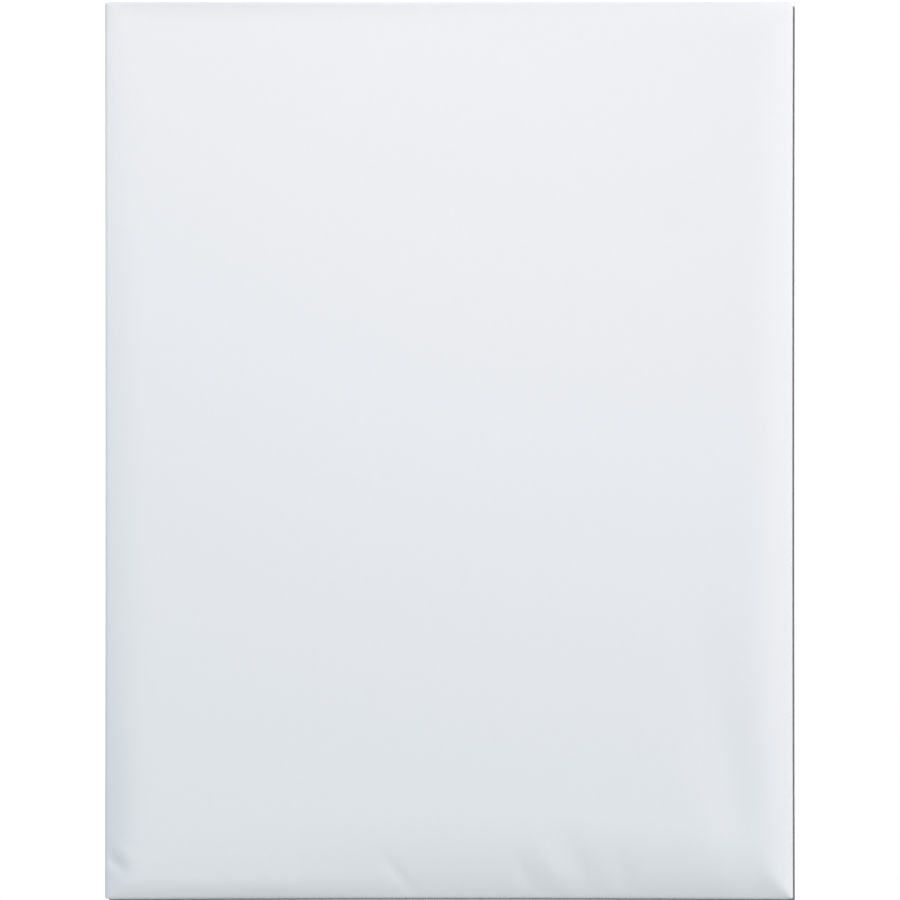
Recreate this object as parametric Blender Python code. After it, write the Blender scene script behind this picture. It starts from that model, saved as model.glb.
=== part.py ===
"""A catalog envelope, closed and plumped out, lying on its back with its plain front up.

The real one is a single sheet of white wove paper. Its two sides fold in behind the front
and lap over each other in a seam near the middle. The bottom flap folds up over them, and
the seal flap folds down over them from the top. All of it is gummed shut, so nothing can be
seen of the inside, and the envelope is one solid with each layer's edge as a step on its back.

It is folded flat first, one thin slab for each layer, and then plumped: the front rises to a
crown, and the back drops to the table. Metres, +X to the right and +Y to the seal flap's end
as the front is read, +Z up from the table. The origin is on the table under the middle.
"""

import math
from typing import NamedTuple

import bmesh
import bpy
from mathutils import Vector

INCH = 0.0254

# The trade size, lying flat and empty, and the caliper of the paper
FLAT_WIDTH = 10 * INCH
FLAT_LENGTH = 13 * INCH
PAPER = 0.00015

# The plumped envelope's greatest thickness, and the height of its folds above the table
THICKNESS = 0.0070
FOLD_HEIGHT = 0.0015

# The back: how far the side panels lap, and the two flaps
SEAM_LAP = 0.0190
BOTTOM_FLAP_DEPTH = 0.0350
BOTTOM_FLAP_SLANT = 0.0220
BOTTOM_FLAP_ROUND = 0.0080
SEAL_FLAP_DEPTH = 0.0445
SEAL_FLAP_SLANT = 0.0110
SEAL_FLAP_ROUND = 0.0140
FLAP_SETBACK = 0.0015

# The corners as seen from the front, and the steps in each arc of an outline
CORNER_ROUND = 0.0009
ARC_STEPS = 6

# How far in from each fold the front has risen to its full height, halfway along that fold
LEFT_SHOULDER = 0.0120
RIGHT_SHOULDER = 0.0140
TOP_SHOULDER = 0.0090
BOTTOM_SHOULDER = 0.0310
BACK_SHOULDER = 0.0160

# How much wider the side shoulders are at the bottom than at the top, and how much shorter
# the bottom shoulder and its rise are in the corners than in the middle
SIDE_WIDENING = 0.35
CORNER_EASE = 0.30

# The tighter roll at the foot of the bottom shoulder: how far in it goes, what share of the
# rise it takes at the left and at the right, and between which distances from the left that fades
BOTTOM_ROLL = 0.0085
ROLL_SHARE_LEFT = 0.50
ROLL_SHARE_RIGHT = 0.10
ROLL_FADE_START = 0.0500
ROLL_FADE_END = 0.1200

# The paper's own rounding along every fold: how far in it goes, and how high
EDGE_ROLL = 0.0011
EDGE_RISE = 0.00028

# How much of the front's rise is the slow crown across the whole width. The filling has
# settled: the shoulders rise this much more at the right than halfway, and at the bottom
# than at the top.
CROWN_RISE = 0.0026
SETTLED_RIGHT = 0.0008
SETTLED_DOWN = 0.0028

# How much higher the top fold stands, where four stiff layers meet, and how sharply that
# fades towards its corners and down the back
TOP_LIFT = 0.0019
TOP_LIFT_FADE = 12

# How far the filling draws in the middle of a side fold and of an end fold
SIDE_BOW = 0.0002
END_BOW = 0.0004

# The sharpness of the crease that runs in from each corner
MITRE = 8

# The plumping takes the paper that goes round the edges off the flat width and length
DRAW_IN = (math.pi / 2 - 1) * THICKNESS
WIDTH = FLAT_WIDTH - DRAW_IN
LENGTH = FLAT_LENGTH - DRAW_IN

# The faces of the flat layers, measured from the middle of the folds
FRONT_FACE = PAPER
INNER_PANEL_FACE = -PAPER
OUTER_PANEL_FACE = -2 * PAPER
FLAP_FACE = -3 * PAPER

# How far past the middle of the folds a layer's slab is bedded, so that it joins the first
BEDDING = PAPER / 4

# What the plumping adds in front of the folds and behind them. The settling lifts the highest
# point and moves it off the middle, which the shoulders make good.
BACK_DROP = FOLD_HEIGHT + FLAP_FACE
PEAK_LIFT = (
    CROWN_RISE * SETTLED_DOWN / (4 * CROWN_RISE - SETTLED_DOWN)
    + SETTLED_RIGHT ** 2 / (4 * CROWN_RISE)
)
SHOULDER_RISE = THICKNESS - FOLD_HEIGHT - FRONT_FACE - EDGE_RISE - CROWN_RISE - PEAK_LIFT


class Gather(NamedTuple):
    """A furrow in the front where the paper is drawn over the bottom fold, or a ridge where
    its depth is below 0. Its place is where it meets the fold, from the middle, and its lean
    is how far it goes to the right for each metre in from the fold."""

    place: float
    reach: float
    half_width: float
    depth: float
    lean: float


class Dent(NamedTuple):
    """A soft dent in the front, or a swelling where its depth is below 0. Its middle is
    measured from the left and bottom folds, and its lean is as a gather's."""

    left: float
    bottom: float
    half_x: float
    half_y: float
    depth: float
    lean: float


GATHERS = (
    Gather(-0.0545, 0.0420, 0.0020, 0.00012, 0.00),
    Gather(-0.0115, 0.0210, 0.0027, 0.00060, -0.75),
    Gather(0.0320, 0.0200, 0.0027, 0.00050, -0.50),
    Gather(0.0415, 0.0270, 0.0040, -0.00045, -0.45),
    Gather(0.0520, 0.0300, 0.0046, 0.00050, -0.40),
    Gather(0.0640, 0.0200, 0.0036, 0.00060, -0.10),
)
DENTS = (
    Dent(0.0022, 0.0142, 0.0031, 0.0036, 0.00115, -0.86),
    Dent(0.0060, 0.0176, 0.0032, 0.0036, -0.00040, -0.86),
    Dent(0.1980, 0.2430, 0.0120, 0.0085, 0.00024, 0.00),
    Dent(0.2300, 0.0350, 0.0100, 0.0500, 0.00085, -0.19),
)

# What makes s * (1 - s) ** 2, the rise and fall of a gather along its reach, go from 0 to 1
FADE_SCALE = 27 / 4

# Cuts that let the slabs bend: the zone beside each fold, its cuts, and those between
FRONT_ZONE = 0.0320
FRONT_ZONE_CUTS = 12
FRONT_MIDDLE_CUTS_X = 12
FRONT_MIDDLE_CUTS_Y = 16
BACK_ZONE_CUTS = 6
GATHER_CUTS = 5
CUT_CROWDING = 1.5
NEAREST = 1e-6

PAPER_COLOUR = (0.84, 0.855, 0.88, 1.0)
PAPER_ROUGHNESS = 0.62

# The rim of the front and back, where the paper turns round a fold
RIM_SHARE = 0.6
RIM_STEPS = 2
RIM_ANGLE = math.radians(60)
SMOOTH_ANGLE = math.radians(35)


def clear_scene():
    """Removes whatever the file opened with."""
    for obj in list(bpy.data.objects):
        bpy.data.objects.remove(obj)


def wove_paper():
    """The white of the sheet."""
    material = bpy.data.materials.new("wove_paper")
    material.use_nodes = True
    shader = material.node_tree.nodes["Principled BSDF"]
    shader.inputs["Base Color"].default_value = PAPER_COLOUR
    shader.inputs["Roughness"].default_value = PAPER_ROUGHNESS
    shader.inputs["Metallic"].default_value = 0.0
    return material


def rounded(corners):
    """Points round a closed outline of (x, y, radius) corners, each radius an arc."""
    points = []
    for i, (x, y, radius) in enumerate(corners):
        here = Vector((x, y))
        if not radius:
            points.append(here)
            continue
        back = (Vector(corners[i - 1][:2]) - here).normalized()
        ahead = (Vector(corners[(i + 1) % len(corners)][:2]) - here).normalized()
        half = back.angle(ahead) / 2
        centre = here + (back + ahead).normalized() * radius / math.sin(half)
        start = here + back * radius / math.tan(half) - centre
        finish = here + ahead * radius / math.tan(half) - centre
        turn = start.angle_signed(finish)
        for step in range(ARC_STEPS + 1):
            angle = -turn * step / ARC_STEPS
            cosine, sine = math.cos(angle), math.sin(angle)
            arm = Vector((start.x * cosine - start.y * sine, start.x * sine + start.y * cosine))
            points.append(centre + arm)
    return points


def slab(name, outline, low, high):
    """A flat layer of that outline between two heights."""
    bm = bmesh.new()
    face = bm.faces.new([bm.verts.new((p.x, p.y, low)) for p in outline])
    raised = bmesh.ops.extrude_face_region(bm, geom=[face])["geom"]
    tops = [v for v in raised if isinstance(v, bmesh.types.BMVert)]
    bmesh.ops.translate(bm, vec=(0, 0, high - low), verts=tops)
    bmesh.ops.recalc_face_normals(bm, faces=bm.faces)
    mesh = bpy.data.meshes.new(name)
    bm.to_mesh(mesh)
    bm.free()
    obj = bpy.data.objects.new(name, mesh)
    bpy.context.collection.objects.link(obj)
    return obj


def front_and_inner_panel():
    """The front and the panel folded in behind it, with the paper's turn at each fold."""
    x, y, r = WIDTH / 2, LENGTH / 2, CORNER_ROUND
    outline = rounded([(-x, -y, r), (x, -y, r), (x, y, r), (-x, y, r)])
    body = slab("envelope", outline, INNER_PANEL_FACE, FRONT_FACE)
    rim = body.modifiers.new("rim", "BEVEL")
    rim.width = RIM_SHARE * PAPER
    rim.segments = RIM_STEPS
    rim.limit_method = "ANGLE"
    rim.angle_limit = RIM_ANGLE
    return body


def outer_panel():
    """The panel that folds over second, from the left fold to past the middle."""
    left, free = -WIDTH / 2 + PAPER, SEAM_LAP / 2
    end, r = LENGTH / 2 - PAPER, CORNER_ROUND
    outline = rounded([(left, -end, r), (free, -end, 0), (free, end, 0), (left, end, r)])
    return slab("outer_panel", outline, OUTER_PANEL_FACE, BEDDING)


def flap(name, end, depth, slant, radius):
    """A flap on the back, from the fold at the top (end +1) or the bottom (end -1)."""
    base = LENGTH / 2 - PAPER
    free = LENGTH / 2 - depth
    wide = WIDTH / 2 - FLAP_SETBACK
    narrow = wide - slant
    corners = [
        (-wide, end * base, 0),
        (-narrow, end * free, radius),
        (narrow, end * free, radius),
        (wide, end * base, 0),
    ]
    return slab(name, rounded(corners), FLAP_FACE, BEDDING)


def folded_flat():
    """The envelope before it is plumped: its layers gummed into one, as a bmesh."""
    body = front_and_inner_panel()
    layers = [
        outer_panel(),
        flap("bottom_flap", -1, BOTTOM_FLAP_DEPTH, BOTTOM_FLAP_SLANT, BOTTOM_FLAP_ROUND),
        flap("seal_flap", 1, SEAL_FLAP_DEPTH, SEAL_FLAP_SLANT, SEAL_FLAP_ROUND),
    ]
    for layer in layers:
        gum = body.modifiers.new(layer.name, "BOOLEAN")
        gum.operation = "UNION"
        gum.object = layer
    graph = bpy.context.evaluated_depsgraph_get()
    flat = bpy.data.meshes.new_from_object(body.evaluated_get(graph))
    bm = bmesh.new()
    bm.from_mesh(flat)
    for obj in [body, *layers]:
        bpy.data.objects.remove(obj)
    return bm


def cuts_beside(fold, inwards, zone, count):
    """Places of cuts from a fold inwards, closer together near the fold."""
    return [fold + inwards * zone * (k / count) ** CUT_CROWDING for k in range(1, count + 1)]


def cuts_across(half, zone, zone_count, middle_count):
    """Places of cuts from one fold to the other."""
    inner = half - zone
    between = [inner * (2 * k / middle_count - 1) for k in range(1, middle_count)]
    beside = cuts_beside(-half, 1, zone, zone_count) + cuts_beside(half, -1, zone, zone_count)
    return beside + between


def cut(bm, wanted, axis, places):
    """Cuts the wanted faces square to an axis, so that they can bend there."""
    for place in places:
        faces = [f for f in bm.faces if wanted(f)]
        edges = {e for f in faces for e in f.edges}
        verts = {v for f in faces for v in f.verts}
        bmesh.ops.bisect_plane(
            bm,
            geom=[*verts, *edges, *faces],
            plane_co=axis * place,
            plane_no=axis,
            dist=NEAREST,
        )


def on_front(face):
    """Whether a face is in front of the middle of the folds."""
    return face.calc_center_median().z > 0


def on_back(face):
    """Whether a face is on the middle of the folds or behind it."""
    return not on_front(face)


def by_gathers(face):
    """Whether a face is on the front, where the gathers reach."""
    reach = max(gather.reach for gather in GATHERS)
    return on_front(face) and face.calc_center_median().y < reach - LENGTH / 2


def gather_cuts():
    """Places across the width where each gather needs to bend."""
    places = []
    for gather in GATHERS:
        middle = gather.place + gather.lean * gather.reach / 2
        for k in range(-GATHER_CUTS, GATHER_CUTS + 1):
            places.append(middle + k * gather.half_width / 2)
    return places


def cut_for_bending(bm):
    """Cuts the front all over, and the back beside its folds only."""
    along_x, along_y = Vector((1, 0, 0)), Vector((0, 1, 0))
    x, y = WIDTH / 2, LENGTH / 2
    front = (FRONT_ZONE, FRONT_ZONE_CUTS)
    back = (BACK_SHOULDER, BACK_ZONE_CUTS)
    cut(bm, on_front, along_y, cuts_across(y, *front, FRONT_MIDDLE_CUTS_Y))
    cut(bm, on_front, along_x, cuts_across(x, *front, FRONT_MIDDLE_CUTS_X))
    cut(bm, by_gathers, along_x, gather_cuts())
    for fold, inwards in ((-y, 1), (y, -1)):
        cut(bm, on_back, along_y, cuts_beside(fold, inwards, *back))
    for fold, inwards in ((-x, 1), (x, -1)):
        cut(bm, on_back, along_x, cuts_beside(fold, inwards, *back))


def shoulder(*shares):
    """0 on a fold and 1 in the middle, from how far in a point is from each fold as a share
    of that fold's shoulder. The least share rules, with a soft crease where two meet."""
    nearest = min(shares)
    if nearest <= 0:
        return 0.0
    share = sum(s ** -MITRE for s in shares) ** (-1 / MITRE)
    return 1 - max(0.0, 1 - share) ** 2


def from_folds(x, y):
    """Distances in from the left, right, bottom and top folds."""
    return x + WIDTH / 2, WIDTH / 2 - x, y + LENGTH / 2, LENGTH / 2 - y


def gathered(x, bottom):
    """How far the gathers at the bottom fold draw the front in at a point."""
    depth_here = 0.0
    for gather in GATHERS:
        along = bottom / gather.reach
        if 0 < along < 1:
            aside = (x - gather.place - gather.lean * bottom) / gather.half_width
            fade = FADE_SCALE * along * (1 - along) ** 2
            depth_here += gather.depth * fade * math.exp(-aside * aside)
    return depth_here


def dented(left, bottom):
    """How deep the soft dents are at a point."""
    depth_here = 0.0
    for dent in DENTS:
        above = bottom - dent.bottom
        aside = (left - dent.left - dent.lean * above) / dent.half_x
        along = above / dent.half_y
        depth_here += dent.depth * math.exp(-aside * aside - along * along)
    return depth_here


def lift(x, y):
    """How much higher than the other folds the top fold makes the sheet stand at a point."""
    towards_corner = abs(2 * x / WIDTH) ** TOP_LIFT_FADE
    return TOP_LIFT * (0.5 + y / LENGTH) ** TOP_LIFT_FADE * (1 - towards_corner)


def bottom_share(left, bottom):
    """How far up the bottom shoulder a point is: a long slope with a tighter roll at its foot."""
    faded = (left - ROLL_FADE_START) / (ROLL_FADE_END - ROLL_FADE_START)
    faded = min(1.0, max(0.0, faded))
    faded = faded * faded * (3 - 2 * faded)
    roll = ROLL_SHARE_LEFT + (ROLL_SHARE_RIGHT - ROLL_SHARE_LEFT) * faded
    reach = BOTTOM_SHOULDER * (1 - CORNER_EASE * (2 * left / WIDTH - 1) ** 2)
    slope = max(0.0, 1 - bottom / reach) ** 2
    foot = max(0.0, 1 - bottom / BOTTOM_ROLL) ** 2
    return 1 - math.sqrt((1 - roll) * slope + roll * foot)


def front_rise(x, y):
    """How far the front stands above the height that it has at the folds."""
    left, right, bottom, top = from_folds(x, y)
    across, along = 2 * x / WIDTH, 2 * y / LENGTH
    down = (0.5 - along / 2) ** 2
    widened = 1 + SIDE_WIDENING * down
    full = shoulder(
        left / (LEFT_SHOULDER * widened),
        right / (RIGHT_SHOULDER * widened),
        bottom_share(left, bottom),
        top / TOP_SHOULDER,
    )
    settled_down = SETTLED_DOWN * down * (1 - CORNER_EASE * across ** 2)
    settled = SETTLED_RIGHT * across + settled_down
    hollows = gathered(x, bottom) + dented(left, bottom)
    shoulders = SHOULDER_RISE + settled - lift(x, y) - hollows
    crown = (1 - across ** 2) * (1 - along ** 2)
    rolled = shoulder(*(d / EDGE_ROLL for d in (left, right, bottom, top)))
    return shoulders * full + CROWN_RISE * crown + EDGE_RISE * rolled


def back_drop(x, y):
    """How far the back hangs below the height that it has at the folds."""
    return (BACK_DROP + lift(x, y)) * shoulder(*(d / BACK_SHOULDER for d in from_folds(x, y)))


def plump(bm):
    """Lifts the front and drops the back, the turned paper between them in step, and
    draws the folds in."""
    for v in bm.verts:
        x, y, z = v.co
        share = min(1.0, max(0.0, (z - INNER_PANEL_FACE) / (FRONT_FACE - INNER_PANEL_FACE)))
        moved = share * front_rise(x, y) - (1 - share) * back_drop(x, y)
        v.co.x = x - SIDE_BOW * (2 * x / WIDTH) * (1 - (2 * y / LENGTH) ** 2)
        v.co.y = y - END_BOW * (2 * y / LENGTH) * (1 - (2 * x / WIDTH) ** 2)
        v.co.z = FOLD_HEIGHT + lift(x, y) + z + moved


def envelope():
    """The finished envelope."""
    bm = folded_flat()
    cut_for_bending(bm)
    plump(bm)
    bmesh.ops.recalc_face_normals(bm, faces=bm.faces)
    mesh = bpy.data.meshes.new("envelope")
    bm.to_mesh(mesh)
    bm.free()
    mesh.materials.clear()
    mesh.materials.append(wove_paper())
    mesh.shade_smooth()
    mesh.set_sharp_from_angle(angle=SMOOTH_ANGLE)
    obj = bpy.data.objects.new("envelope", mesh)
    bpy.context.collection.objects.link(obj)
    return obj


clear_scene()
envelope()
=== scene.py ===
"""The looks of a catalog envelope: one folded sheet of white wove paper in soft studio light.

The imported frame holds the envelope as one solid. This script puts the real sheet in its
place. A blank is cut from a single grid, folded round its four fold lines, plumped by the
same rule as the solid, and given the paper's thickness. Then come the paper's finish, a
plain white floor, soft lamps for the paper with one more for the floor alone, and a camera
that looks straight down on the front.
"""

import logging
import math
from dataclasses import dataclass, field
from enum import Enum

import bpy
import numpy as np
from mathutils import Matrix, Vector


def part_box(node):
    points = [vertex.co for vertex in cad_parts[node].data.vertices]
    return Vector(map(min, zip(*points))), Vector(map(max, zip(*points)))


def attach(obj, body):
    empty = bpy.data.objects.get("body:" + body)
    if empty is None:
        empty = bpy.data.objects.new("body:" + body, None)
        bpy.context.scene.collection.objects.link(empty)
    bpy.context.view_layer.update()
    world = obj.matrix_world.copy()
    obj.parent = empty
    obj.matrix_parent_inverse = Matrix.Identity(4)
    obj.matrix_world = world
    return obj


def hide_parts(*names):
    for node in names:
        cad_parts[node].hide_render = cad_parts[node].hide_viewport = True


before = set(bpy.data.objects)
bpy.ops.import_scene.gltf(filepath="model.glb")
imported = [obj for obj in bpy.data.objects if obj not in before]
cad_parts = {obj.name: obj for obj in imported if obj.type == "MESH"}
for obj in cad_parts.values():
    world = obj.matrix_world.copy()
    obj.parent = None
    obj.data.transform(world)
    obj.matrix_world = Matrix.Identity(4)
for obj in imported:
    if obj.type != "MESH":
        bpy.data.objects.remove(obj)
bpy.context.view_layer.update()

LOG = logging.getLogger("envelope")
MM = 0.001

# The greatest value of a * (1 - a) ** 2, by which a furrow's fade is divided
FURROW_PEAK = 4.0 / 27.0


def deselect_all() -> None:
    for obj in bpy.context.selected_objects:
        obj.select_set(False)


def delete_faces(obj: bpy.types.Object, unwanted: np.ndarray) -> None:
    """Deletes faces of the active object in edit mode.

    Args:
        obj: The active object.
        unwanted: Which of its faces go.
    """
    bpy.ops.object.mode_set(mode="EDIT")
    bpy.ops.mesh.select_mode(type="FACE")
    bpy.ops.mesh.select_all(action="DESELECT")
    bpy.ops.object.mode_set(mode="OBJECT")
    obj.data.polygons.foreach_set("select", unwanted)
    bpy.ops.object.mode_set(mode="EDIT")
    bpy.ops.mesh.delete(type="FACE")
    bpy.ops.object.mode_set(mode="OBJECT")


def smoothstep(low: float, high: float, value: np.ndarray) -> np.ndarray:
    """Gives a soft ramp between two values.

    Args:
        low: Where the ramp is 0.
        high: Where the ramp is 1.
        value: The values to look up.

    Returns:
        The ramp at each value, from 0 to 1.
    """
    share = np.clip((value - low) / (high - low), 0.0, 1.0)
    return share * share * (3.0 - 2.0 * share)


@dataclass(frozen=True)
class Gather:
    """A furrow in the front at the bottom fold, or a ridge where its depth is below 0."""

    place: float
    reach: float
    half_width: float
    depth: float
    lean: float

    def depth_at(self, x: np.ndarray, bottom: np.ndarray) -> np.ndarray:
        """Gives how far the gather draws the front in.

        Args:
            x: Distances to the right of the middle.
            bottom: Distances in from the bottom fold.

        Returns:
            The depth at each point.
        """
        along = np.clip(bottom / self.reach, 0.0, 1.0)
        aside = (x - self.place - self.lean * bottom) / self.half_width
        fade = along * (1.0 - along) ** 2 / FURROW_PEAK
        return self.depth * fade * np.exp(-aside * aside)


@dataclass(frozen=True)
class Dent:
    """A soft dent in the front, or a swelling where its depth is below 0.

    Its middle is measured from the left and bottom folds, and it leans to the right as it
    goes up by so much of its own height.
    """

    left: float
    bottom: float
    half_x: float
    half_y: float
    depth: float
    lean: float = 0.0

    def depth_at(self, left: np.ndarray, bottom: np.ndarray) -> np.ndarray:
        """Gives how deep the dent is.

        Args:
            left: Distances in from the left fold.
            bottom: Distances in from the bottom fold.

        Returns:
            The depth at each point.
        """
        above = bottom - self.bottom
        aside = (left - self.left - self.lean * above) / self.half_x
        along = above / self.half_y
        return self.depth * np.exp(-aside * aside - along * along)


@dataclass
class Plumping:
    """How the filled envelope's front stands up from its folds and its back hangs down."""

    width: float
    length: float
    thickness: float
    paper: float = 0.15 * MM
    fold_height: float = 1.5 * MM
    crown_rise: float = 2.6 * MM
    settled_right: float = 0.8 * MM
    settled_down: float = 2.8 * MM
    corner_ease: float = 0.30
    side_widening: float = 0.35
    edge_rise: float = 0.28 * MM
    edge_roll: float = 1.1 * MM
    top_lift: float = 1.9 * MM
    top_lift_fade: float = 12.0
    left_shoulder: float = 12 * MM
    right_shoulder: float = 14 * MM
    top_shoulder: float = 9 * MM
    bottom_shoulder: float = 31 * MM
    bottom_roll: float = 8.5 * MM
    roll_share_left: float = 0.50
    roll_share_right: float = 0.10
    roll_fade: tuple[float, float] = (50 * MM, 120 * MM)
    back_shoulder: float = 16 * MM
    side_bow: float = 0.2 * MM
    end_bow: float = 0.4 * MM
    mitre: float = 8.0
    gathers: tuple[Gather, ...] = (
        Gather(-54.5 * MM, 42.0 * MM, 2.0 * MM, 0.12 * MM, 0.00),
        Gather(-11.5 * MM, 21.0 * MM, 2.7 * MM, 0.60 * MM, -0.75),
        Gather(32.0 * MM, 20.0 * MM, 2.7 * MM, 0.50 * MM, -0.50),
        Gather(41.5 * MM, 27.0 * MM, 4.0 * MM, -0.45 * MM, -0.45),
        Gather(52.0 * MM, 30.0 * MM, 4.6 * MM, 0.50 * MM, -0.40),
        Gather(64.0 * MM, 20.0 * MM, 3.6 * MM, 0.60 * MM, -0.10),
    )
    dents: tuple[Dent, ...] = (
        Dent(2.2 * MM, 14.2 * MM, 3.1 * MM, 3.6 * MM, 1.15 * MM, -0.86),
        Dent(6.0 * MM, 17.6 * MM, 3.2 * MM, 3.6 * MM, -0.40 * MM, -0.86),
        Dent(198.0 * MM, 243.0 * MM, 12.0 * MM, 8.5 * MM, 0.24 * MM),
        Dent(230.0 * MM, 35.0 * MM, 10.0 * MM, 50.0 * MM, 0.85 * MM, -0.19),
    )

    @property
    def shoulder_rise(self) -> float:
        """How far the shoulders rise, so that the highest point makes up the thickness.

        Returns:
            The rise from the folds, without the crown.
        """
        crown, right, down = self.crown_rise, self.settled_right, self.settled_down
        peak_lift = crown * down / (4.0 * crown - down) + right ** 2 / (4.0 * crown)
        folds = self.fold_height + self.paper + self.edge_rise
        return self.thickness - folds - crown - peak_lift

    def shoulder(self, *shares: np.ndarray) -> np.ndarray:
        """Gives the rise from the folds to the middle.

        Args:
            shares: How far in a point is from each fold, as a share of its shoulder.

        Returns:
            0 on a fold and 1 in the middle, with a soft crease where two shoulders meet.
        """
        floor = [np.maximum(share, 1e-6) for share in shares]
        nearest = sum(share ** -self.mitre for share in floor) ** (-1.0 / self.mitre)
        return 1.0 - np.maximum(0.0, 1.0 - nearest) ** 2

    def lift(self, x: np.ndarray, y: np.ndarray) -> np.ndarray:
        """Gives how much higher the sheet stands near the top fold, where four layers meet.

        Args:
            x: Distances to the right of the middle.
            y: Distances above the middle.

        Returns:
            The lift at each point.
        """
        towards_top = np.clip(0.5 + y / self.length, 0.0, 1.0) ** self.top_lift_fade
        towards_corner = np.abs(2.0 * x / self.width).clip(0.0, 1.0) ** self.top_lift_fade
        return self.top_lift * towards_top * (1.0 - towards_corner)

    def bottom_share(self, left: np.ndarray, bottom: np.ndarray) -> np.ndarray:
        """Gives how far up the bottom shoulder a point is, which rolls more tightly at its foot.

        Args:
            left: Distances in from the left fold.
            bottom: Distances in from the bottom fold.

        Returns:
            The share of the shoulder at each point.
        """
        fade = smoothstep(*self.roll_fade, left)
        roll = self.roll_share_left + (self.roll_share_right - self.roll_share_left) * fade
        across = 2.0 * left / self.width - 1.0
        reach = self.bottom_shoulder * (1.0 - self.corner_ease * across ** 2)
        slow = np.clip(1.0 - bottom / reach, 0.0, 1.0) ** 2
        tight = np.clip(1.0 - bottom / self.bottom_roll, 0.0, 1.0) ** 2
        return 1.0 - np.sqrt((1.0 - roll) * slow + roll * tight)

    def front_rise(self, x: np.ndarray, y: np.ndarray) -> np.ndarray:
        """Gives how far the front stands above the height that it has at the folds.

        Args:
            x: Distances to the right of the middle.
            y: Distances above the middle.

        Returns:
            The rise at each point.
        """
        left, right = x + self.width / 2, self.width / 2 - x
        bottom, top = y + self.length / 2, self.length / 2 - y
        across, along = 2.0 * x / self.width, 2.0 * y / self.length
        down = (0.5 - along / 2) ** 2
        widened = 1.0 + self.side_widening * down
        full = self.shoulder(
            left / (self.left_shoulder * widened),
            right / (self.right_shoulder * widened),
            self.bottom_share(left, bottom),
            top / self.top_shoulder,
        )
        sagged = self.settled_down * down * (1.0 - self.corner_ease * across ** 2)
        settled = self.settled_right * across + sagged
        hollows = sum(gather.depth_at(x, bottom) for gather in self.gathers)
        hollows = hollows + sum(dent.depth_at(left, bottom) for dent in self.dents)
        shoulders = self.shoulder_rise + settled - self.lift(x, y) - hollows
        crown = (1.0 - across ** 2) * (1.0 - along ** 2)
        rolled = self.shoulder(*(way / self.edge_roll for way in (left, right, bottom, top)))
        return shoulders * full + self.crown_rise * crown + self.edge_rise * rolled

    def back_drop(self, x: np.ndarray, y: np.ndarray) -> np.ndarray:
        """Gives how far the back hangs below the height that it has at the folds.

        Args:
            x: Distances to the right of the middle.
            y: Distances above the middle.

        Returns:
            The drop at each point.
        """
        ways = (x + self.width / 2, self.width / 2 - x, y + self.length / 2, self.length / 2 - y)
        full = self.shoulder(*(way / self.back_shoulder for way in ways))
        return (self.fold_height - 3.0 * self.paper + self.lift(x, y)) * full

    def drawn_in(self, x: np.ndarray, y: np.ndarray) -> tuple[np.ndarray, np.ndarray]:
        """Bows the folds inwards between the corners.

        Args:
            x: Distances to the right of the middle.
            y: Distances above the middle.

        Returns:
            The new distances.
        """
        across, along = 2.0 * x / self.width, 2.0 * y / self.length
        return (
            x - self.side_bow * across * (1.0 - along ** 2),
            y - self.end_bow * along * (1.0 - across ** 2),
        )


class Layer(Enum):
    """A layer of paper behind the front, by how many sheets lie from the front to it."""

    INNER_PANEL = 1
    OUTER_PANEL = 2
    FLAP = 3


@dataclass(frozen=True)
class Turn:
    """The paper's turn round one fold, from the front to a layer behind it."""

    fold: float
    layer: Layer
    paper: float
    steps: int = 6

    @property
    def radius(self) -> float:
        """The radius of the middle of the paper in the turn."""
        return self.layer.value * self.paper / 2

    @property
    def start(self) -> float:
        """How far out from the middle the turn starts, on the blank."""
        return self.fold - self.radius

    @property
    def end(self) -> float:
        """How far out from the middle the turn ends, on the blank."""
        return self.start + math.pi * self.radius

    def stations(self) -> np.ndarray:
        """Where the blank is cut across to let it bend, beyond the start of the turn."""
        return np.linspace(self.start, self.end, self.steps + 1)[1:]

    def laid(self, out: np.ndarray) -> tuple[np.ndarray, np.ndarray, np.ndarray]:
        """Folds a stretch of the blank.

        Args:
            out: Distances out from the middle of the blank, 0 or more.

        Returns:
            The distances out from the middle once folded, the drop below the front, and
            the share of each point that belongs to the front, from 0 to 1.
        """
        angle = np.clip((out - self.start) / self.radius, 0.0, math.pi)
        before = np.minimum(out, self.start)
        after = np.maximum(out - self.end, 0.0)
        folded = before + self.radius * np.sin(angle) - after
        drop = self.radius * (1.0 - np.cos(angle))
        return folded, drop, (1.0 + np.cos(angle)) / 2


@dataclass(frozen=True)
class Flap:
    """A flap of the blank: how deep it is, how its sides slant in, and its corners."""

    depth: float
    slant: float
    corner: float
    setback: float = 1.5 * MM
    corner_steps: int = 8
    step: float = 2.5 * MM

    def half_width_share(self, depth: np.ndarray, half: float) -> np.ndarray:
        """Gives the flap's half width as a share of that at its base.

        Args:
            depth: Distances from the fold.
            half: The half width at the base.

        Returns:
            The share at each distance.
        """
        straight = half - self.slant * depth / self.depth
        into = np.clip(depth - (self.depth - self.corner), 0.0, self.corner)
        rounding = self.corner - np.sqrt(np.maximum(0.0, self.corner ** 2 - into ** 2))
        return (straight - rounding) / half

    def stations(self, start: float) -> np.ndarray:
        """Gives where the flap is cut across, closer together round its corners.

        Args:
            start: The distance from the fold at which the flap leaves its turn.

        Returns:
            Distances from the fold, the last of them the flap's depth.
        """
        flat = self.depth - self.corner
        steps = max(2, round((flat - start) / self.step))
        angles = np.linspace(0.0, math.pi / 2, self.corner_steps + 1)[1:]
        return np.concatenate(
            [np.linspace(start, flat, steps + 1)[1:], flat + self.corner * np.sin(angles)]
        )


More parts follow.
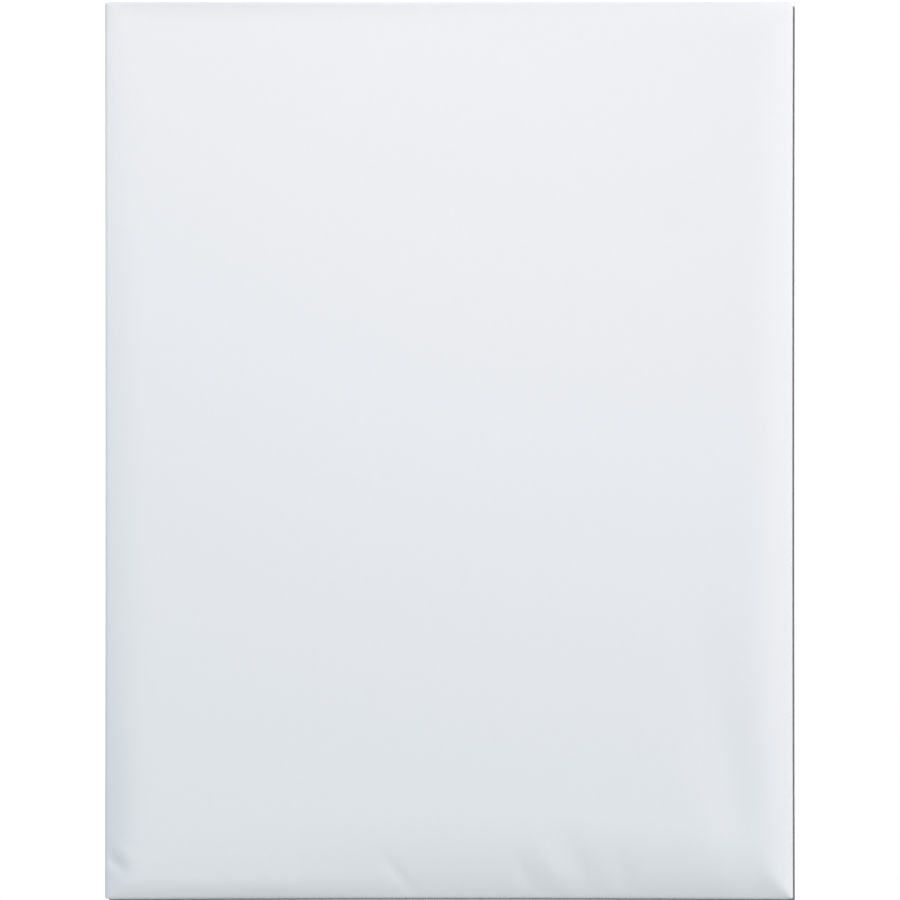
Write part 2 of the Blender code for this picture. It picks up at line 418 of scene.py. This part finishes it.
@dataclass(frozen=True)
class WovePaper:
    """Uncoated white wove paper: a matte, faintly cloudy sheet with fine fibres."""

    colour: tuple[float, float, float] = (0.84, 0.855, 0.88)
    cloud_depth: float = 0.012
    worn_lift: float = 0.02
    roughness: float = 0.62
    specular: float = 0.35
    cloud_size: float = 2.6 * MM
    fibre_size: float = 0.35 * MM
    fibre_relief: float = 0.012 * MM
    felt_size: float = 1.1 * MM
    felt_relief: float = 0.010 * MM

    def formation_group(self) -> bpy.types.ShaderNodeTree:
        """Builds the group that gives the sheet's clouds, fibres and relief.

        Returns:
            The group, with the outputs Cloud and Height.
        """
        group = bpy.data.node_groups.new("paper_formation", "ShaderNodeTree")
        face = group.interface
        for name, value in (
            ("Cloud Size", self.cloud_size),
            ("Fibre Size", self.fibre_size),
            ("Fibre Relief", self.fibre_relief),
            ("Felt Size", self.felt_size),
            ("Felt Relief", self.felt_relief),
        ):
            socket = face.new_socket(name, in_out="INPUT", socket_type="NodeSocketFloat")
            socket.default_value = value
        face.new_socket("Place", in_out="INPUT", socket_type="NodeSocketVector")
        face.new_socket("Cloud", in_out="OUTPUT", socket_type="NodeSocketFloat")
        face.new_socket("Height", in_out="OUTPUT", socket_type="NodeSocketFloat")
        nodes, links = group.nodes, group.links
        given = nodes.new("NodeGroupInput")
        made = nodes.new("NodeGroupOutput")

        def pattern(size: str, detail: float, rough: float, stretch: float) -> bpy.types.Node:
            """Adds one layer of noise.

            Args:
                size: The input that gives the size of its grains.
                detail: How many finer layers it has.
                rough: How strong the finer ones are.
                stretch: How much the grains are squeezed along Y, below 1 for longer ones.

            Returns:
                The noise node.
            """
            scale = nodes.new("ShaderNodeMath")
            scale.operation = "DIVIDE"
            scale.inputs[0].default_value = 1.0
            links.new(given.outputs[size], scale.inputs[1])
            place = nodes.new("ShaderNodeMapping")
            place.inputs["Scale"].default_value = (1.0, stretch, 1.0)
            links.new(given.outputs["Place"], place.inputs["Vector"])
            noise = nodes.new("ShaderNodeTexNoise")
            noise.inputs["Detail"].default_value = detail
            noise.inputs["Roughness"].default_value = rough
            links.new(place.outputs["Vector"], noise.inputs["Vector"])
            links.new(scale.outputs[0], noise.inputs["Scale"])
            return noise

        cloud = pattern("Cloud Size", 4.0, 0.6, 0.8)
        fibre = pattern("Fibre Size", 3.0, 0.65, 0.45)
        felt = pattern("Felt Size", 2.0, 0.5, 1.0)

        def sized(noise: bpy.types.Node, relief: str) -> bpy.types.Node:
            """Adds the product of a noise and the relief that it stands up by.

            Args:
                noise: The noise node.
                relief: The input that gives the relief.

            Returns:
                The product's node.
            """
            product = nodes.new("ShaderNodeMath")
            product.operation = "MULTIPLY"
            links.new(noise.outputs["Fac"], product.inputs[0])
            links.new(given.outputs[relief], product.inputs[1])
            return product

        height = nodes.new("ShaderNodeMath")
        height.operation = "ADD"
        links.new(sized(fibre, "Fibre Relief").outputs[0], height.inputs[0])
        links.new(sized(felt, "Felt Relief").outputs[0], height.inputs[1])
        links.new(cloud.outputs["Fac"], made.inputs["Cloud"])
        links.new(height.outputs[0], made.inputs["Height"])
        return group

    def material(self, name: str) -> bpy.types.Material:
        """Builds the paper's material.

        Args:
            name: The material's name.

        Returns:
            The material.
        """
        material = bpy.data.materials.new(name)
        material.use_nodes = True
        nodes, links = material.node_tree.nodes, material.node_tree.links
        shader = nodes["Principled BSDF"]
        shader.inputs["Roughness"].default_value = self.roughness
        shader.inputs["Specular IOR Level"].default_value = self.specular
        place = nodes.new("ShaderNodeTexCoord")
        formation = nodes.new("ShaderNodeGroup")
        formation.node_tree = self.formation_group()
        links.new(place.outputs["Object"], formation.inputs["Place"])
        worn = nodes.new("ShaderNodeAttribute")
        worn.attribute_name = "fold_wear"

        thin = tuple(c * (1.0 - self.cloud_depth) for c in self.colour)
        thick = tuple(min(1.0, c * (1.0 + self.cloud_depth)) for c in self.colour)
        clouds = nodes.new("ShaderNodeMix")
        clouds.data_type = "RGBA"
        clouds.inputs["A"].default_value = (*thin, 1.0)
        clouds.inputs["B"].default_value = (*thick, 1.0)
        links.new(formation.outputs["Cloud"], clouds.inputs["Factor"])
        lifted = tuple(min(1.0, c * (1.0 + self.worn_lift)) for c in self.colour)
        wear = nodes.new("ShaderNodeMix")
        wear.data_type = "RGBA"
        wear.inputs["B"].default_value = (*lifted, 1.0)
        links.new(worn.outputs["Fac"], wear.inputs["Factor"])
        links.new(clouds.outputs["Result"], wear.inputs["A"])
        links.new(wear.outputs["Result"], shader.inputs["Base Color"])

        bump = nodes.new("ShaderNodeBump")
        bump.inputs["Distance"].default_value = 1.0
        links.new(formation.outputs["Height"], bump.inputs["Height"])
        links.new(bump.outputs["Normal"], shader.inputs["Normal"])
        return material


@dataclass
class EnvelopeSheet:
    """The one sheet of paper: its blank, its folds and its thickness."""

    plumping: Plumping
    finish: WovePaper = field(default_factory=WovePaper)
    seam_lap: float = 19.0 * MM
    bottom_flap: Flap = Flap(depth=35.0 * MM, slant=22.0 * MM, corner=8.0 * MM)
    seal_flap: Flap = Flap(depth=44.5 * MM, slant=11.0 * MM, corner=14.0 * MM)
    panel_setback: float = 1.0 * MM
    corner_round: float = 0.9 * MM
    layer_air: float = 0.015 * MM
    wear_reach: float = 0.35 * MM
    fold_zone: float = 32.0 * MM
    fold_zone_steps: int = 22
    crowding: float = 1.5
    corner_steps: int = 5
    shoulder_steps: int = 8
    middle_step: float = 1.7 * MM
    back_step: float = 5.0 * MM
    smooth_angle: float = 40.0

    def __post_init__(self) -> None:
        """Works out the four turns from the plumped outline."""
        half_width, half_length = self.plumping.width / 2, self.plumping.length / 2
        paper = self.plumping.paper
        self.left = Turn(half_width, Layer.OUTER_PANEL, paper)
        self.right = Turn(half_width, Layer.INNER_PANEL, paper)
        self.bottom = Turn(half_length, Layer.FLAP, paper)
        self.top = Turn(half_length, Layer.FLAP, paper)

    def out_from_middle(self, turn: Turn, setback: float, step: float) -> np.ndarray:
        """Gives where the front is cut across from its middle out to one turn.

        Args:
            turn: The turn at the fold.
            setback: How far in from the fold the next panel's corner is.
            step: The spacing in the middle of the front.

        Returns:
            Distances from the middle, 0 left out, the start of the turn last.
        """
        zone = turn.fold - self.fold_zone
        middle = np.linspace(0.0, zone, round(zone / step) + 1)[1:]
        shares = (np.arange(self.fold_zone_steps) + 1) / self.fold_zone_steps
        spacing = (1.0 - shares) ** self.crowding
        beside = turn.fold - setback - (self.fold_zone - setback) * spacing
        corner = np.linspace(turn.fold - setback, turn.start, self.corner_steps + 1)[1:]
        return np.concatenate([middle, beside, corner])

    def panel_stations(self, turn: Turn) -> np.ndarray:
        """Gives where a side panel is cut across, beyond its turn.

        Args:
            turn: The turn that it leaves.

        Returns:
            Distances out from the middle of the blank.
        """
        reach = turn.start + self.seam_lap / 2
        shoulder = self.plumping.back_shoulder
        beside = shoulder * (np.arange(self.shoulder_steps) + 1) / self.shoulder_steps
        flat = np.linspace(shoulder, reach, round((reach - shoulder) / self.back_step) + 1)[1:]
        return turn.end + np.concatenate([beside, flat])

    def columns(self) -> np.ndarray:
        """Gives where the blank is cut from side to side.

        Returns:
            Distances to the right of the middle, from the left edge to the right one.
        """
        setback, step = self.seal_flap.setback, self.middle_step
        left = np.concatenate([
            self.out_from_middle(self.left, setback, step),
            self.left.stations(),
            self.panel_stations(self.left),
        ])
        right = np.concatenate([
            self.out_from_middle(self.right, setback, step),
            self.right.stations(),
            self.panel_stations(self.right),
        ])
        return np.concatenate([-left[::-1], [0.0], right])

    def rows(self) -> np.ndarray:
        """Gives where the blank is cut from end to end.

        Returns:
            Distances above the middle, from the bottom flap's edge to the seal flap's.
        """
        step = 2.0 * self.middle_step

        def out(turn: Turn, flap: Flap) -> np.ndarray:
            """Gives where one half of the blank is cut across.

            Args:
                turn: The turn at its fold.
                flap: The flap beyond it.

            Returns:
                Distances out from the middle of the blank.
            """
            return np.concatenate([
                self.out_from_middle(turn, self.panel_setback, step),
                turn.stations(),
                turn.end + flap.stations(turn.radius) - turn.radius,
            ])

        bottom = out(self.bottom, self.bottom_flap)
        top = out(self.top, self.seal_flap)
        return np.concatenate([-bottom[::-1], [0.0], top])

    def cut_blank(self) -> bpy.types.Object:
        """Cuts the flat blank out of one grid: a front, two side panels and two flaps.

        Returns:
            The blank, lying on the table.
        """
        columns, rows = self.columns(), self.rows()
        deselect_all()
        bpy.ops.mesh.primitive_grid_add(
            x_subdivisions=len(columns) - 1, y_subdivisions=len(rows) - 1, size=1.0
        )
        blank = bpy.context.object
        blank.name = blank.data.name = "envelope_paper"
        place = np.empty(len(blank.data.vertices) * 3)
        blank.data.vertices.foreach_get("co", place)
        place = place.reshape(-1, 3)
        across = np.rint((place[:, 0] + 0.5) * (len(columns) - 1)).astype(int)
        along = np.rint((place[:, 1] + 0.5) * (len(rows) - 1)).astype(int)
        place[:, 0], place[:, 1], place[:, 2] = columns[across], rows[along], 0.0
        blank.data.vertices.foreach_set("co", place.ravel())

        middles = np.empty(len(blank.data.polygons) * 3)
        blank.data.polygons.foreach_get("center", middles)
        u, v = np.abs(middles.reshape(-1, 3)[:, :2]).T
        beyond_end = v > self.top.fold - self.panel_setback
        beyond_side = u > self.left.fold - self.seal_flap.setback
        corner = (u > self.left.start) | (v > self.top.start)
        delete_faces(blank, beyond_end & beyond_side & corner)
        return blank

    def rounded_corner(self, u: np.ndarray, v: np.ndarray) -> tuple[np.ndarray, np.ndarray]:
        """Rounds the front's four corners, where two folds meet.

        Args:
            u: Distances across the blank.
            v: Distances along the blank.

        Returns:
            The new distances.
        """
        r = self.corner_round
        a = np.abs(u) - (self.left.fold - r)
        b = np.abs(v) - (self.top.fold - r)
        near = (a > 0) & (b > 0) & (a <= r) & (b <= r)
        shrink = np.where(near, np.maximum(a, b) / np.hypot(a, b).clip(1e-9), 1.0)
        u_new = np.where(near, np.sign(u) * (self.left.fold - r + a * shrink), u)
        v_new = np.where(near, np.sign(v) * (self.top.fold - r + b * shrink), v)
        return u_new, v_new

    def flap_narrowed(self, u: np.ndarray, v: np.ndarray) -> np.ndarray:
        """Slants the sides of both flaps in and rounds their corners.

        Args:
            u: Distances across the blank.
            v: Distances along the blank.

        Returns:
            The new distances across.
        """
        half = self.left.fold - self.seal_flap.setback
        for flap, turn, end in ((self.bottom_flap, self.bottom, -1), (self.seal_flap, self.top, 1)):
            depth = end * v - turn.end + turn.radius
            share = flap.half_width_share(np.clip(depth, 0.0, flap.depth), half)
            u = np.where(depth > turn.radius, u * share, u)
        return u

    def fold_up(self, blank: bpy.types.Object) -> None:
        """Folds the blank and plumps it.

        Args:
            blank: The flat blank.
        """
        mesh, plumping = blank.data, self.plumping
        place = np.empty(len(mesh.vertices) * 3)
        mesh.vertices.foreach_get("co", place)
        u, v = place.reshape(-1, 3)[:, :2].T
        wear = self.fold_wear(u, v)
        u, v = self.rounded_corner(u, v)
        u = self.flap_narrowed(u, v)

        left_x, left_drop, left_front = self.left.laid(np.abs(u))
        right_x, right_drop, right_front = self.right.laid(np.abs(u))
        on_left = u < 0
        x = np.sign(u) * np.where(on_left, left_x, right_x)
        side_drop = np.where(on_left, left_drop, right_drop)
        side_front = np.where(on_left, left_front, right_front)
        y, end_drop, end_front = self.top.laid(np.abs(v))
        y = np.sign(v) * y

        front = np.minimum(side_front, end_front)
        height = plumping.paper / 2 - side_drop - end_drop
        rise = front * plumping.front_rise(x, y) - (1.0 - front) * plumping.back_drop(x, y)
        z = plumping.fold_height + plumping.lift(x, y) + height + rise
        x, y = plumping.drawn_in(x, y)
        mesh.vertices.foreach_set("co", np.column_stack([x, y, z]).ravel())
        attribute = mesh.attributes.new("fold_wear", "FLOAT", "POINT")
        attribute.data.foreach_set("value", wear.astype(np.float32))
        mesh.update()

    def fold_wear(self, u: np.ndarray, v: np.ndarray) -> np.ndarray:
        """Gives how worn the paper is by its folding.

        Args:
            u: Distances across the blank.
            v: Distances along the blank.

        Returns:
            1 on a fold, falling to 0 beside it.
        """
        side = np.minimum(
            np.abs(u + (self.left.start + self.left.end) / 2),
            np.abs(u - (self.right.start + self.right.end) / 2),
        )
        end = np.abs(np.abs(v) - (self.top.start + self.top.end) / 2)
        return np.exp(-((np.minimum(side, end) / self.wear_reach) ** 2))

    def thicken(self, sheet: bpy.types.Object) -> None:
        """Gives the sheet its thickness, with a little air between one layer and the next.

        Args:
            sheet: The folded sheet.
        """
        deselect_all()
        sheet.select_set(True)
        bpy.context.view_layer.objects.active = sheet
        bpy.ops.object.modifier_add(type="SOLIDIFY")
        solidify = sheet.modifiers[-1]
        solidify.thickness = self.plumping.paper - self.layer_air
        solidify.offset = 0.0
        bpy.ops.object.modifier_apply(modifier=solidify.name)
        bpy.ops.object.shade_smooth_by_angle(angle=math.radians(self.smooth_angle))

    def build(self) -> bpy.types.Object:
        """Makes the finished sheet and dresses it.

        Returns:
            The sheet.
        """
        sheet = self.cut_blank()
        self.fold_up(sheet)
        self.thicken(sheet)
        sheet.data.materials.clear()
        sheet.data.materials.append(self.finish.material("wove_paper_finish"))
        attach(sheet, "root")
        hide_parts("envelope")
        LOG.info("%s: %d faces", sheet.name, len(sheet.data.polygons))
        return sheet


@dataclass(frozen=True)
class SoftLamp:
    """A sun behind a diffuser: where it shines from, how strong it is and how wide."""

    name: str
    towards: tuple[float, float, float]
    strength: float
    spread: float
    colour: tuple[float, float, float]

    def hang(self) -> bpy.types.Object:
        """Adds the lamp to the scene.

        Returns:
            The lamp.
        """
        lamp = bpy.data.lights.new(self.name, "SUN")
        lamp.energy = self.strength
        lamp.angle = math.radians(self.spread)
        lamp.color = self.colour
        obj = bpy.data.objects.new(self.name, lamp)
        obj.rotation_euler = Vector(self.towards).to_track_quat("Z", "Y").to_euler()
        bpy.context.scene.collection.objects.link(obj)
        return obj


@dataclass(frozen=True)
class PanelLamp:
    """A rectangular soft box that hangs over the envelope."""

    name: str
    place: tuple[float, float, float]
    aim: tuple[float, float, float]
    size: tuple[float, float]
    power: float
    colour: tuple[float, float, float]

    def hang(self) -> bpy.types.Object:
        """Adds the lamp to the scene.

        Returns:
            The lamp.
        """
        lamp = bpy.data.lights.new(self.name, "AREA")
        lamp.shape = "RECTANGLE"
        lamp.size, lamp.size_y = self.size
        lamp.energy = self.power
        lamp.color = self.colour
        obj = bpy.data.objects.new(self.name, lamp)
        obj.location = self.place
        back = Vector(self.place) - Vector(self.aim)
        obj.rotation_euler = back.to_track_quat("Z", "Y").to_euler()
        bpy.context.scene.collection.objects.link(obj)
        return obj


def seen_directly(tree: bpy.types.NodeTree) -> bpy.types.NodeSocket:
    """Adds the nodes that tell where a backdrop is looked at rather than lights something.

    Args:
        tree: The node tree of the floor's or the world's shader.

    Returns:
        The output that is 1 for the camera, and for what is mirrored or seen through.
    """
    path = tree.nodes.new("ShaderNodeLightPath")
    seen = path.outputs["Is Camera Ray"]
    for ray in ("Is Glossy Ray", "Is Transmission Ray"):
        either = tree.nodes.new("ShaderNodeMath")
        either.operation = "MAXIMUM"
        tree.links.new(seen, either.inputs[0])
        tree.links.new(path.outputs[ray], either.inputs[1])
        seen = either.outputs[0]
    return seen


@dataclass
class Studio:
    """The plain white floor, the soft light and the camera."""

    width: float
    length: float
    fold_height: float
    photo_side_px: float = 900.0
    envelope_length_px: float = 897.2
    envelope_middle_px: tuple[float, float] = (448.9, 450.5)
    lens: float = 100.0
    clip: tuple[float, float] = (0.01, 100.0)
    floor_size: float = 30.0
    floor_grey: float = 0.8
    ambient: tuple[float, float, float] = (0.15, 0.16, 0.17)
    paper_lamps: tuple[SoftLamp | PanelLamp, ...] = (
        SoftLamp("right_window", (1.5, 0.5, 1.0), 1.65, 40.0, (1.0, 0.94, 0.93)),
        PanelLamp(
            "overhead_panel", (0.0, 0.30, 0.70), (0.0, 0.05, 0.0), (1.0, 0.4), 3.10, (1.0, 0.79, 0.74)
        ),
        SoftLamp("left_rim", (-0.45, 0.45, 1.2), 0.82, 8.0, (0.48, 0.91, 1.0)),
    )
    floor_lamp: SoftLamp = SoftLamp("floor_lamp", (-0.58, 0.58, 1.0), 3.48, 4.0, (1.0, 1.0, 1.0))

    def lay_floor(self) -> bpy.types.Object:
        """Lays the floor: white to the camera, with the envelope's shadow on it.

        Returns:
            The floor.
        """
        deselect_all()
        bpy.ops.mesh.primitive_plane_add(size=self.floor_size)
        floor = bpy.context.object
        floor.name = floor.data.name = "floor"
        material = bpy.data.materials.new("white_floor")
        material.use_nodes = True
        tree = material.node_tree
        shader = tree.nodes["Principled BSDF"]
        shader.inputs["Roughness"].default_value = 1.0
        shader.inputs["Specular IOR Level"].default_value = 0.0
        white = tree.nodes.new("ShaderNodeMix")
        white.data_type = "RGBA"
        white.inputs["A"].default_value = (self.floor_grey, self.floor_grey, self.floor_grey, 1.0)
        white.inputs["B"].default_value = (1.0, 1.0, 1.0, 1.0)
        tree.links.new(seen_directly(tree), white.inputs["Factor"])
        tree.links.new(white.outputs["Result"], shader.inputs["Base Color"])
        floor.data.materials.append(material)
        LOG.info("%s: %.0f m square", floor.name, self.floor_size)
        return floor

    def light_world(self) -> None:
        """Fills the room with even light, and makes it white where it is seen."""
        world = bpy.data.worlds.new("room")
        bpy.context.scene.world = world
        world.use_nodes = True
        tree = world.node_tree
        even = tree.nodes["Background"]
        even.inputs["Color"].default_value = (*self.ambient, 1.0)
        even.inputs["Strength"].default_value = 1.0
        white = tree.nodes.new("ShaderNodeBackground")
        white.inputs["Color"].default_value = (1.0, 1.0, 1.0, 1.0)
        white.inputs["Strength"].default_value = 1.0
        mix = tree.nodes.new("ShaderNodeMixShader")
        tree.links.new(seen_directly(tree), mix.inputs["Fac"])
        tree.links.new(even.outputs[0], mix.inputs[1])
        tree.links.new(white.outputs[0], mix.inputs[2])
        tree.links.new(mix.outputs[0], tree.nodes["World Output"].inputs["Surface"])

    def hang_lamps(self, sheet: bpy.types.Object, floor: bpy.types.Object) -> None:
        """Hangs the lamps, the envelope's own and the one that whitens the floor.

        Args:
            sheet: The envelope, which the paper lamps light.
            floor: The floor, which its own lamp lights, so that the shadow on it is thin.
        """
        for name, lit, lamps in (
            ("lit_paper", sheet, self.paper_lamps),
            ("lit_floor", floor, (self.floor_lamp,)),
        ):
            receivers = bpy.data.collections.new(name)
            receivers.objects.link(lit)
            for lamp in lamps:
                lamp.hang().light_linking.receiver_collection = receivers
                LOG.info("%s lights the %s", lamp.name, lit.name)

    def place_camera(self) -> bpy.types.Object:
        """Hangs the camera straight above the front, framed as the photograph is.

        Returns:
            The camera.
        """
        metres_per_px = self.length / self.envelope_length_px
        data = bpy.data.cameras.new("camera")
        data.lens = self.lens
        seen = self.photo_side_px * metres_per_px
        height = self.fold_height + seen * data.lens / data.sensor_width
        half = self.photo_side_px / 2
        camera = bpy.data.objects.new("camera", data)
        camera.location = (
            (half - self.envelope_middle_px[0]) * metres_per_px,
            (self.envelope_middle_px[1] - half) * metres_per_px,
            height,
        )
        data.clip_start, data.clip_end = self.clip
        bpy.context.scene.collection.objects.link(camera)
        bpy.context.scene.camera = camera
        LOG.info("camera: %.3f m above the table", height)
        return camera

    def build(self, sheet: bpy.types.Object) -> None:
        """Sets the whole studio up.

        Args:
            sheet: The envelope.
        """
        floor = self.lay_floor()
        self.light_world()
        self.hang_lamps(sheet, floor)
        self.place_camera()
        bpy.context.scene.view_settings.view_transform = "Standard"


def main() -> None:
    """Builds the envelope and its studio, in order."""
    logging.basicConfig(level=logging.INFO, format="%(name)s: %(message)s")
    low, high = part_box("envelope")
    width, length, thickness = (high[i] - low[i] for i in range(3))
    plumping = Plumping(width, length, thickness)
    sheet = EnvelopeSheet(plumping).build()
    Studio(width, length, plumping.fold_height).build(sheet)


if __name__ == "__main__":
    main()
